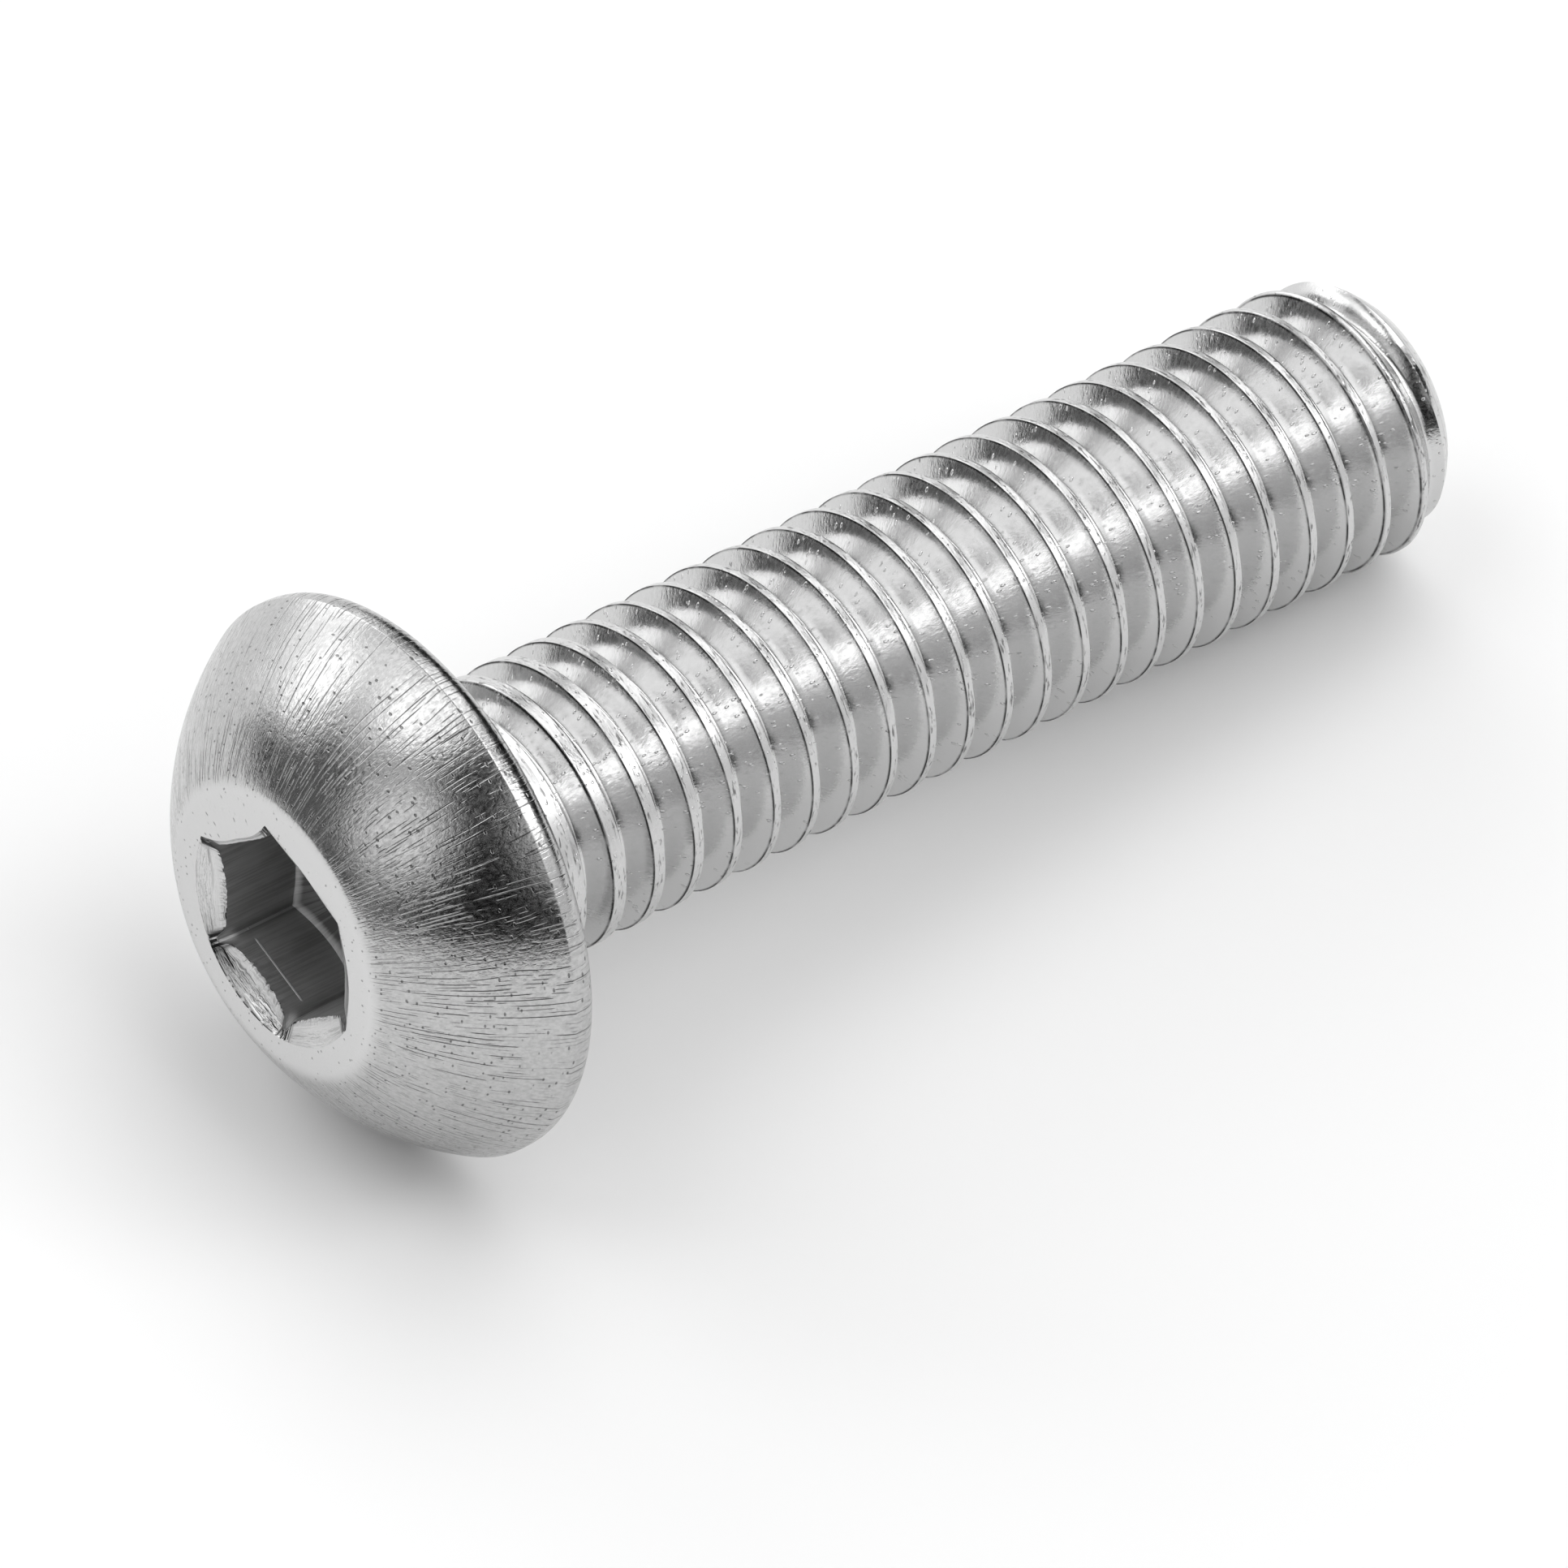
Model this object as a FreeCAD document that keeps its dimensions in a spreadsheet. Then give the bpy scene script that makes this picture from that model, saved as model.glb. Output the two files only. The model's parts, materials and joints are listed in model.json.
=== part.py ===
import FreeCAD, Part
import math
import os
import Sketcher

# A hexagon socket button head screw with a rolled thread up to its head, lying on its side.
# The screw is drawn along its own Z axis: the bearing face is at zero, the shank runs to +Z and
# the head to -Z. Millimetres and degrees throughout.

SIZES = [
    ("thread_diameter", 4.84, "over the crests of the thread"),
    ("thread_pitch", 0.8, "one turn of the thread"),
    ("thread_depth", 0.49, "crest to root"),
    ("crest_width", 0.1, "flat left on each crest"),
    ("flank_angle", 60.0, "between the two flanks of a groove"),
    ("flank_depth", 0.25, "crest to where a flank turns into the root"),
    ("groove_place", 1.333, "first full groove, above the bearing face in the XZ plane"),
    ("runout_turns", 0.75, "turns in which the groove fades towards the head"),
    ("shank_length", 19.6, "bearing face to the end of the point"),
    ("point_length", 0.62, "taper at the end of the shank"),
    ("point_diameter", 3.8, "end face"),
    ("neck_taper", 0.25, "between the shank and the bearing face"),
    ("head_diameter", 9.5, "over the rim"),
    ("head_height", 2.75, "bearing face to the land"),
    ("land_diameter", 4.95, "flat ring round the socket"),
    ("dome_radius", 5.4, "section of the dome"),
    ("rim_height", 0.5, "bearing face to the foot of the dome"),
    ("rim_round", 0.35, "rounding between the rim and the bearing face"),
    ("rim_slope", 0.1, "how far the rim's rounding leans in before it turns under"),
    ("socket_width", 3.04, "across the flats"),
    ("socket_depth", 1.5, "land to the socket's corners at its floor"),
    ("socket_turn", -13.0, "turn of the hexagon about the screw's axis"),
    ("floor_angle", 120.0, "included angle of the socket's conical floor"),
    ("mouth_diameter", 4.0, "bevel round the socket's mouth"),
    ("mouth_angle", 120.0, "included angle of that bevel"),
    ("cutter_overrun", 0.2, "how far the thread's cutter stands out of the shank"),
]

ON_AXIS, ON_BASE = -2, -1
START, END = 1, 2


def make_sheet(doc):
    """Put the driving dimensions in a spreadsheet."""
    sheet = doc.addObject("Spreadsheet::Sheet", "sizes")
    for row, (alias, value, note) in enumerate(SIZES, start=1):
        sheet.set(f"A{row}", alias)
        sheet.set(f"B{row}", str(value))
        sheet.set(f"C{row}", note)
        sheet.setAlias(f"B{row}", alias)
    doc.recompute()
    return sheet


def sketch_on(body, name, role):
    """Start a sketch on one of the body's own origin planes."""
    plane = next(item for item in body.Origin.OriginFeatures if item.Role == role)
    sketch = body.newObject("Sketcher::SketchObject", name)
    sketch.AttachmentSupport = [(plane, "")]
    sketch.MapMode = "FlatFace"
    return sketch


def meeting_ends(sketch, first, second):
    """Which ends of two pieces of an outline touch: a clockwise arc starts where it is left."""
    pairs = [(here, there) for here in (START, END) for there in (START, END)]
    return min(pairs, key=lambda pair: sketch.getPoint(first, pair[0])
               .distanceToPoint(sketch.getPoint(second, pair[1])))


def close_outline(sketch, pieces, smooth=()):
    """Add lines and arcs that run end to end, and join each to the next, some without a corner."""
    for piece in pieces:
        sketch.addGeometry(piece, False)
    count = len(pieces)
    joints = [meeting_ends(sketch, index, (index + 1) % count) for index in range(count)]
    for index, (here, there) in enumerate(joints):
        kind = "Tangent" if index in smooth else "Coincident"
        sketch.addConstraint(Sketcher.Constraint(kind, index, here, (index + 1) % count, there))


def rule(sketch, kind, *where):
    """Add a constraint without a size."""
    sketch.addConstraint(Sketcher.Constraint(kind, *where))


def bind(sketch, name, formula, kind, *where):
    """Add a constraint whose size follows a formula of the spreadsheet's cells."""
    index = sketch.addConstraint(Sketcher.Constraint(kind, *where))
    sketch.renameConstraint(index, name)
    sketch.setExpression(f"Constraints.{name}", formula)


def line(start, end):
    """A line between two points given as radius and height."""
    return Part.LineSegment(FreeCAD.Vector(*start, 0), FreeCAD.Vector(*end, 0))


def arc(start, end, radius, outward):
    """An arc between two points; outward is the side, seen from the first to the second."""
    first = FreeCAD.Vector(*start, 0)
    last = FreeCAD.Vector(*end, 0)
    chord = last - first
    rise = radius - math.sqrt(radius ** 2 - chord.Length ** 2 / 4)
    side = FreeCAD.Vector(chord.y, -chord.x, 0).normalize()
    middle = (first + last) / 2 + side * rise * outward
    return Part.Arc(first, middle, last)


def blank_profile(body, sheet):
    """Half section of the headed blank, before its socket and thread."""
    head = sheet.head_diameter / 2
    land = sheet.land_diameter / 2
    shank = sheet.thread_diameter / 2
    point = sheet.point_diameter / 2
    top = -sheet.head_height
    foot = -sheet.rim_height
    rim_round = sheet.rim_round
    slope = sheet.rim_slope
    neck = sheet.neck_taper
    tip = sheet.shank_length
    taper = tip - sheet.point_length
    sketch = sketch_on(body, "blank_profile", "XZ_Plane")
    (land_line, dome, rim, rim_turn, rim_under, bearing, neck_line, side,
     point_line, end_line, axis) = range(11)
    close_outline(sketch, [
        line((0, top), (land, top)),
        arc((land, top), (head, foot), sheet.dome_radius, 1),
        line((head, foot), (head, -rim_round)),
        line((head, -rim_round), (head - slope, -slope)),
        line((head - slope, -slope), (head - rim_round, 0)),
        line((head - rim_round, 0), (shank + neck, 0)),
        line((shank + neck, 0), (shank, neck)),
        line((shank, neck), (shank, taper)),
        line((shank, taper), (point, tip)),
        line((point, tip), (0, tip)),
        line((0, tip), (0, top)),
    ])
    for level in (land_line, bearing, end_line):
        rule(sketch, "Horizontal", level)
    for upright in (rim, side):
        rule(sketch, "Vertical", upright)
    rule(sketch, "PointOnObject", land_line, START, ON_AXIS)
    rule(sketch, "PointOnObject", axis, START, ON_AXIS)
    rule(sketch, "PointOnObject", bearing, START, ON_BASE)
    bind(sketch, "land", "sizes.land_diameter / 2", "DistanceX", ON_BASE, START, land_line, END, land)
    bind(sketch, "top", "sizes.head_height", "DistanceY", land_line, END, ON_BASE, START, -top)
    bind(sketch, "dome", "sizes.dome_radius", "Radius", dome, sheet.dome_radius)
    bind(sketch, "head", "sizes.head_diameter / 2", "DistanceX", ON_BASE, START, rim, START, head)
    bind(sketch, "rim", "sizes.rim_height", "DistanceY", rim, START, ON_BASE, START, -foot)
    bind(sketch, "rim_round", "sizes.rim_round", "DistanceY", rim_turn, START, ON_BASE, START, rim_round)
    bind(sketch, "lean", "sizes.rim_slope", "DistanceX", rim_turn, END, rim_turn, START, slope)
    bind(sketch, "drop", "sizes.rim_slope", "DistanceY", rim_turn, END, ON_BASE, START, slope)
    bind(sketch, "under", "sizes.rim_round", "DistanceX", rim_under, END, rim_turn, START, rim_round)
    bind(sketch, "neck_out", "sizes.neck_taper", "DistanceX", neck_line, END, neck_line, START, neck)
    bind(sketch, "neck_up", "sizes.neck_taper", "DistanceY", neck_line, START, neck_line, END, neck)
    bind(sketch, "shank", "sizes.thread_diameter / 2", "DistanceX", ON_BASE, START, side, END, shank)
    bind(sketch, "tip", "sizes.shank_length", "DistanceY", ON_BASE, START, end_line, START, tip)
    bind(sketch, "taper", "sizes.point_length", "DistanceY", side, END, end_line, START, tip - taper)
    bind(sketch, "point", "sizes.point_diameter / 2", "DistanceX", ON_BASE, START, end_line, START, point)
    return sketch


def cone_profile(body, name, place, radius, slope, size):
    """Half section of a cone on the screw's axis, its base at one height and its apex above."""
    base, reach, rise = size
    sketch = sketch_on(body, name, "XZ_Plane")
    close_outline(sketch, [
        line((0, base), (reach, base)),
        line((reach, base), (0, base + rise)),
        line((0, base + rise), (0, base)),
    ])
    rule(sketch, "Horizontal", 0)
    rule(sketch, "PointOnObject", 0, START, ON_AXIS)
    rule(sketch, "PointOnObject", 2, START, ON_AXIS)
    bind(sketch, "place", place, "DistanceY", 0, START, ON_BASE, START, -base)
    bind(sketch, "reach", radius, "DistanceX", 0, START, 0, END, reach)
    bind(sketch, "rise", f"({radius}) * {slope}", "DistanceY", 0, START, 2, START, rise)
    return sketch


def floor_profile(body, sheet):
    """Half section of the metal left under the socket's conical floor."""
    corner = "sizes.socket_width / 2 / cos(30)"
    slope = "tan(90 - sizes.floor_angle / 2)"
    reach = sheet.socket_width / 2 / math.cos(math.radians(30))
    rise = reach * math.tan(math.radians(90 - sheet.floor_angle / 2))
    edge = sheet.socket_depth - sheet.head_height
    sketch = sketch_on(body, "floor_profile", "XZ_Plane")
    close_outline(sketch, [
        line((reach, edge), (reach, edge + rise)),
        line((reach, edge + rise), (0, edge + rise)),
        line((0, edge + rise), (reach, edge)),
    ])
    rule(sketch, "Vertical", 0)
    rule(sketch, "Horizontal", 1)
    rule(sketch, "PointOnObject", 1, END, ON_AXIS)
    bind(sketch, "corner", corner, "DistanceX", ON_BASE, START, 0, START, reach)
    bind(sketch, "edge", "sizes.head_height - sizes.socket_depth",
         "DistanceY", 0, START, ON_BASE, START, -edge)
    bind(sketch, "rise", f"{corner} * {slope}", "DistanceY", 0, START, 0, END, rise)
    return sketch


def hexagon_profile(body, sheet):
    """The socket's hexagon, on the land and turned about the screw's axis."""
    sketch = sketch_on(body, "hexagon", "XY_Plane")
    sketch.setExpression("AttachmentOffset.Base.z", "-sizes.head_height")
    sketch.setExpression("AttachmentOffset.Rotation.Angle", "sizes.socket_turn * 1 deg")
    reach = sheet.socket_width / 2 / math.cos(math.radians(30))
    turns = [math.radians(60 * n) for n in range(6)]
    corners = [(reach * math.cos(turn), reach * math.sin(turn)) for turn in turns]
    close_outline(sketch, [line(corners[n], corners[(n + 1) % 6]) for n in range(6)])
    circle = sketch.addGeometry(Part.Circle(FreeCAD.Vector(0, 0, 0), FreeCAD.Vector(0, 0, 1), reach), True)
    rule(sketch, "Coincident", circle, 3, ON_BASE, START)
    for side in range(6):
        rule(sketch, "PointOnObject", side, START, circle)
    for side in range(1, 6):
        rule(sketch, "Equal", 0, side)
    rule(sketch, "PointOnObject", 0, START, ON_BASE)
    bind(sketch, "corner", "sizes.socket_width / 2 / cos(30)", "Radius", circle, reach)
    return sketch


def groove_profile(body, sheet):
    """The thread's cutter: straight flanks, then a blunter root, standing a little out of the shank."""
    crest = sheet.thread_diameter / 2
    root = crest - sheet.thread_depth
    bend = crest - sheet.flank_depth
    lift = crest + sheet.cutter_overrun
    middle = sheet.groove_place
    mouth = (sheet.thread_pitch - sheet.crest_width) / 2
    waist = mouth - sheet.flank_depth * math.tan(math.radians(sheet.flank_angle / 2))
    sketch = sketch_on(body, "groove_profile", "XZ_Plane")
    low_lip, low_flank, low_root, high_root, high_flank, high_lip, back = range(7)
    close_outline(sketch, [
        line((lift, middle - mouth), (crest, middle - mouth)),
        line((crest, middle - mouth), (bend, middle - waist)),
        line((bend, middle - waist), (root, middle)),
        line((root, middle), (bend, middle + waist)),
        line((bend, middle + waist), (crest, middle + mouth)),
        line((crest, middle + mouth), (lift, middle + mouth)),
        line((lift, middle + mouth), (lift, middle - mouth)),
    ])
    for level in (low_lip, high_lip):
        rule(sketch, "Horizontal", level)
    rule(sketch, "Vertical", back)
    rule(sketch, "Vertical", low_flank, START, high_flank, END)
    rule(sketch, "Vertical", low_flank, END, high_flank, START)
    mouth_formula = "(sizes.thread_pitch - sizes.crest_width) / 2"
    waist_formula = f"({mouth_formula} - sizes.flank_depth * tan(sizes.flank_angle / 2))"
    bind(sketch, "place", "sizes.groove_place", "DistanceY", ON_BASE, START, low_root, END, middle)
    bind(sketch, "root", "sizes.thread_diameter / 2 - sizes.thread_depth",
         "DistanceX", ON_BASE, START, low_root, END, root)
    bind(sketch, "crest", "sizes.thread_diameter / 2", "DistanceX", ON_BASE, START, low_flank, START, crest)
    bind(sketch, "flank", "sizes.flank_depth", "DistanceX", low_flank, END, low_flank, START, crest - bend)
    bind(sketch, "lift", "sizes.cutter_overrun", "DistanceX", low_lip, END, low_lip, START, lift - crest)
    bind(sketch, "low_mouth", mouth_formula, "DistanceY", low_flank, START, low_root, END, mouth)
    bind(sketch, "high_mouth", mouth_formula, "DistanceY", low_root, END, high_flank, END, mouth)
    bind(sketch, "low_waist", waist_formula, "DistanceY", low_flank, END, low_root, END, waist)
    bind(sketch, "high_waist", waist_formula, "DistanceY", low_root, END, high_flank, START, waist)
    return sketch


def turn_round(body, kind, name, sketch):
    """Turn a half section right round the screw's axis, adding or cutting metal."""
    feature = body.newObject(kind, name)
    feature.Profile = sketch
    feature.ReferenceAxis = (sketch, ["V_Axis"])
    feature.Angle = 360
    return feature


def form_socket(body, sheet):
    """Press the bevelled hexagonal socket with its conical floor into the head."""
    mouth = sheet.mouth_diameter / 2
    rise = mouth * math.tan(math.radians(90 - sheet.mouth_angle / 2))
    bevel = cone_profile(body, "mouth_profile", "sizes.head_height", "sizes.mouth_diameter / 2",
                         "tan(90 - sizes.mouth_angle / 2)", (-sheet.head_height, mouth, rise))
    turn_round(body, "PartDesign::Groove", "socket_mouth", bevel)
    hexagon = hexagon_profile(body, sheet)
    walls = body.newObject("PartDesign::Pocket", "socket_walls")
    walls.Profile = hexagon
    walls.Reversed = True
    walls.setExpression("Length", "sizes.socket_depth + sizes.socket_width / 2 / cos(30)"
                                  " * tan(90 - sizes.floor_angle / 2)")
    turn_round(body, "PartDesign::Revolution", "socket_floor", floor_profile(body, sheet))


def roll_thread(body, sheet):
    """Cut the helical groove off the end of the shank, and fade it out towards the head."""
    profile = groove_profile(body, sheet)
    groove = body.newObject("PartDesign::SubtractiveHelix", "thread_groove")
    groove.Profile = profile
    groove.ReferenceAxis = (profile, ["V_Axis"])
    groove.Mode = "pitch-height-angle"
    groove.setExpression("Pitch", "sizes.thread_pitch")
    groove.setExpression("Height", "sizes.shank_length - sizes.groove_place + sizes.thread_pitch")
    fade = body.newObject("PartDesign::SubtractiveHelix", "thread_runout")
    fade.Profile = profile
    fade.ReferenceAxis = (profile, ["V_Axis"])
    fade.Mode = "height-turns-growth"
    fade.Reversed = True
    fade.setExpression("Height", "sizes.thread_pitch * sizes.runout_turns")
    fade.setExpression("Turns", "sizes.runout_turns")
    fade.setExpression("Growth", "(sizes.thread_depth + sizes.cutter_overrun) * 1 mm")


def lay_down(body):
    """Lay the screw on the lower edge of its rim and on the last full crest of its thread."""
    rim_out = "(sizes.head_diameter / 2)"
    crest = "(sizes.thread_diameter / 2)"
    half_turns = ("floor((sizes.shank_length - sizes.point_length - sizes.groove_place)"
                  " / sizes.thread_pitch - 0.5)")
    last_crest = f"(sizes.groove_place + ({half_turns} + 0.5) * sizes.thread_pitch + sizes.crest_width / 2)"
    tilt = f"atan(({rim_out} - {crest}) / ({last_crest} + sizes.rim_round))"
    length = "(sizes.head_height - sizes.shank_length)"
    ends = "(sizes.land_diameter - sizes.point_diameter)"
    on_side = FreeCAD.Rotation(FreeCAD.Vector(0, 1, 0), 90)
    body.Placement = FreeCAD.Placement(FreeCAD.Vector(0, 0, 0), on_side)
    body.setExpression("Placement.Rotation.Angle", f"90 deg + {tilt}")
    body.setExpression("Placement.Base.z", f"{rim_out} * cos({tilt}) - sizes.rim_round * sin({tilt})")
    body.setExpression("Placement.Base.x", f"({length} * cos({tilt}) + {ends} / 2 * sin({tilt})) / 2")


def check(doc):
    """Stop if any object of the document failed or is empty."""
    for item in doc.Objects:
        if "Invalid" in item.State or "Error" in item.State:
            raise RuntimeError(f"{item.Label} failed: {item.State}")
        if hasattr(item, "Shape") and item.isDerivedFrom("PartDesign::Feature"):
            if item.Shape.isNull() or not item.Shape.isValid():
                raise RuntimeError(f"{item.Label} has no valid shape")


def main():
    """Build the screw and export it."""
    doc = FreeCAD.newDocument("button_head_screw")
    sheet = make_sheet(doc)
    body = doc.addObject("PartDesign::Body", "button_head_screw")
    body.Label = "button_head_screw"
    turn_round(body, "PartDesign::Revolution", "headed_blank", blank_profile(body, sheet))
    form_socket(body, sheet)
    roll_thread(body, sheet)
    lay_down(body)
    doc.recompute()
    check(doc)
    os.makedirs("parts", exist_ok=True)
    body.Shape.exportStep(f"parts/{body.Label}.step")


main()
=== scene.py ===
import json
import math

import bmesh
import bpy
import numpy as np
from mathutils import Matrix, Vector


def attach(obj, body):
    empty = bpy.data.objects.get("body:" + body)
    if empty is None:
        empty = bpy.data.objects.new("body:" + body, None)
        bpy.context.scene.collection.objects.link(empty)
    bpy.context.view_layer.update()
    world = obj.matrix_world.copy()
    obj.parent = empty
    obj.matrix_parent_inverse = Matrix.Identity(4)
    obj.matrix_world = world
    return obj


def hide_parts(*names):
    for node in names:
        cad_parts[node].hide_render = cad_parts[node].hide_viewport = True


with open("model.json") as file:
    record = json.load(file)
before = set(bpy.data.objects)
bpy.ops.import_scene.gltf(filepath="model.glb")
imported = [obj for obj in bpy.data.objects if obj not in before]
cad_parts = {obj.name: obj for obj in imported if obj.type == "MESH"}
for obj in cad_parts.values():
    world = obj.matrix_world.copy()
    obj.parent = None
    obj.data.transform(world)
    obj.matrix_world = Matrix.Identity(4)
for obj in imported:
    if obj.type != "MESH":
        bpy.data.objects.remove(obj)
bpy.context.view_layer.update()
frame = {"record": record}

bl_info = {
    "name": "Button head screw",
    "version": (1, 0, 0),
    "blender": (4, 5, 0),
    "location": "3D View > Sidebar > Screw",
    "description": "Builds a socket button head screw with a rolled thread, and the studio it lies in",
    "category": "Add Mesh",
}

MOUNTS = {mount["name"]: mount for mount in frame["record"]["mounts"]}
MM = 0.001
SIXTH = math.radians(60)  # one side of the socket's hexagon
FLANK = math.radians(30)  # slope of the thread's flanks from square to the axis
CONE = math.radians(30)  # slope of the socket's bevel and floor
FULL_GROOVE = 0.49 * MM  # depth of the thread between full crests
SHARP = math.radians(33)  # edges that turn more than this are drawn as edges
LAND_ROWS = 4  # rings of points on the flat land
HEADED, TORN, PUNCHED, ROLLED = range(4)  # the steels, in the order of the mesh's materials

# the socket's six sides, in order of angle
SIDES = {
    "thinner": (0.0, 0.03, 0.4, 0.2, 0.1, 0.05),  # millimetres that the bevel lacks in the side's middle
    "torn": (1.2, 0.6, 0.3, 0.5, 0.4, 0.35),  # how ragged the bevel's inner edge is
    "sunk": (1.05, 1.0, 1.0, 1.0, 1.0, 0.9),  # depth of that edge, as a share of the cone's
    "scored": (1.0, 0.3, 0.5, 0.4, 0.4, 0.15),  # how dark its scores are
}
FOLDED = 0  # the side that the punch rubbed most, folded along its bevel; its wall has the bright line

# where points lie over a half groove: shares of the half crest, of the flank and of the root's rounding
ON_CREST = np.array([[0.0, 0.45, 0.85, 1.0]])
ON_FLANK = np.array([[0.08, 0.2, 0.5, 0.8, 1.0]])
IN_ROOT = np.array([[0.65, 0.3]])

# mean radius of each surface in millimetres, which turns angles into lengths for its marks
ON_DOME, ON_LAND, ON_BEVEL, ON_WALL, ON_THREAD, ON_CRESTS = 3.4, 2.3, 1.8, 1.6, 2.3, 2.4
# This colour also paints shade into the bevel's corners and a dark reflection along the thread's crests.
DEEP_MARKS_AND_PAINTED_DARK = "#2A2A2A"  # sRGB colour of torn and folded steel, which holds oil and hardly any light


def linear(hex_colour):
    """An sRGB hex colour as linear red, green, blue and alpha."""
    parts = [int(hex_colour[i:i + 2], 16) / 255 for i in (1, 3, 5)]
    return tuple(p / 12.92 if p <= 0.04045 else ((p + 0.055) / 1.055) ** 2.4 for p in parts) + (1.0,)


def size(name, millimetres, text):
    """A length that shows in the sidebar in the scene's unit."""
    return bpy.props.FloatProperty(name=name, description=text, default=millimetres * MM,
                                   min=0.0, precision=5, unit="LENGTH")


class ScrewSizes(bpy.types.PropertyGroup):
    """Sizes of the screw. The head points to minus along its axis, the shank to plus."""
    head_diameter: size("Head", 9.5, "Diameter over the rim")
    head_height: size("Head height", 2.75, "Bearing face to the flat land")
    land_diameter: size("Land", 4.95, "Flat ring round the socket")
    land_round: size("Land edge", 0.45, "Rounding between the land and the dome")
    dome_radius: size("Dome", 5.4, "Section radius of the dome")
    rim_height: size("Rim", 0.5, "Bearing face to the foot of the dome")
    rim_edge: size("Rim edge", 0.07, "Rounding between the dome and the rim")
    rim_round: size("Rim rounding", 0.35, "Rounding between the rim and the bearing face")
    neck_round: size("Neck rounding", 0.25, "Fillet between the bearing face and the shank")
    socket_width: size("Socket", 3.04, "Across the flats of the hexagon")
    socket_depth: size("Socket depth", 1.5, "Land to the floor, at the hexagon's corners")
    mouth_diameter: size("Socket mouth", 4.0, "Outer edge of the bevel round the socket")
    thread_diameter: size("Thread", 4.84, "Diameter over the crests")
    thread_pitch: size("Pitch", 0.8, "One turn of the thread")
    neck_drop: size("Neck drop", 0.06, "How much lower the crests next to the head are")
    end_drop: size("End drop", 0.04, "How much lower the crests next to the point are")
    crest_width: size("Crest", 0.09, "Flat on each full crest")
    first_crest: size("First crest", 0.22, "Flat on the crest next to the head, where the dies fill the thread least")
    flank_swell: size("Flank swell", 0.003, "How far the rolled flanks stand out in their middle")
    root_radius: size("Root", 0.06, "Radius at the bottom of the groove")
    groove_place: size("First groove", 1.333, "First full groove, above the bearing face")
    shank_length: size("Length", 20.0, "Bearing face to the end of the point")
    point_length: size("Point", 0.8, "Rounded taper at the end")
    point_diameter: size("Point end", 3.8, "End face")
    socket_turn: bpy.props.FloatProperty(name="Socket turn", description="Turn of the hexagon about the axis",
                                         default=math.radians(-13.0), subtype="ANGLE")
    segments: bpy.props.IntProperty(name="Segments", description="Steps round the screw, a multiple of six",
                                    default=120, min=48, max=192, step=6)


class ScrewFinish(bpy.types.PropertyGroup):
    """Colours of the steel and how strong its marks are."""
    steel: bpy.props.StringProperty(name="Steel", description="sRGB hex colour of the clean steel", default="#CFCFCF")
    # The mark colour also paints shade onto the socket's floor and into its corners.
    mark_and_shade_colour: bpy.props.StringProperty(name="Mark colour", description="sRGB hex colour of the pits and fine cracks",
                                    default="#606060")
    # The mark strength also scales the painted shade in the bevel's corners and the painted reflection along the
    # crests.
    marks: bpy.props.FloatProperty(name="Mark strength", description="Strength of the scratches and pits", default=1.0,
                                   min=0.0, max=2.0)


class StudioSettings(bpy.types.PropertyGroup):
    """Camera and soft light of the studio."""
    look_down: bpy.props.FloatProperty(name="Look down", description="How far the camera looks below the horizon",
                                       default=math.radians(47.08), subtype="ANGLE")
    heading: bpy.props.FloatProperty(name="Heading", description="Where the camera looks, turned from the X axis",
                                     default=math.radians(50.97), subtype="ANGLE")
    lens: bpy.props.FloatProperty(name="Lens", description="Focal length for a sensor 36 mm wide", default=415.757,
                                  unit="CAMERA")
    camera_place: bpy.props.FloatVectorProperty(name="Camera", description="Where the camera stands", size=3,
                                                default=(-0.125215, -0.153497, 0.213954), subtype="TRANSLATION")
    sky: bpy.props.FloatProperty(name="Light", description="Strength of all the soft panels", default=1.0, min=0.0)


# ---- the screw's own axis ----

def screw_matrix(sizes):
    """From the screw's own frame, Z from head to point and zero at the bearing face, to the row's frame."""
    socket = MOUNTS["hex_socket"]
    along = -Vector(socket["axis"]).normalized()
    side = Vector((along.z, 0.0, -along.x))
    across = along.cross(side)
    origin = Vector(socket["pos_m"]) + along * sizes.head_height
    turn = Matrix((side, across, along)).transposed().to_4x4()
    return Matrix.Translation(origin) @ turn


# ---- the mesh, as rings of points round the screw's axis ----

class Surface:
    """Collects points and faces given in the screw's own frame as radius, angle and height."""

    def __init__(self):
        self.points = []
        self.around = []
        self.relief = []
        self.faces = []
        self.slots = []
        self.count = 0

    def add_points(self, radius, angle, height, along, relief):
        """Add points, with the two vectors that the steel's marks follow; gives the points' numbers."""
        flat = np.zeros_like(radius)
        for store, parts in ((self.points, (radius * np.cos(angle), radius * np.sin(angle), height)),
                             (self.around, (np.cos(angle), np.sin(angle), along / MM)),
                             (self.relief, relief)):
            store.append(np.stack([part + flat for part in parts], -1).reshape(-1, 3))
        numbers = self.count + np.arange(radius.size).reshape(radius.shape)
        self.count += radius.size
        return numbers

    def add_faces(self, corners, slot):
        """Add faces, one row of points' numbers to each."""
        self.faces.extend(map(tuple, corners.tolist()))
        self.slots.extend([slot] * len(corners))

    def grid(self, radius, angle, height, along, relief, slot):
        """Add a closed band of points, rows by columns, and the quads between them; gives the points' numbers."""
        numbers = self.add_points(radius, angle, height, along, relief)
        self.add_faces(four_corners(np.concatenate([numbers, numbers[:, :1]], axis=1)), slot)
        return numbers


def four_corners(table):
    """The table's values at the corners of each of its cells, in order round the cell."""
    return np.stack([table[:-1, :-1], table[:-1, 1:], table[1:, 1:], table[1:, :-1]], -1).reshape(-1, 4)


def spread(row, columns):
    """A column of values repeated across."""
    return np.repeat(np.asarray(row, float)[:, None], columns, axis=1)


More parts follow.
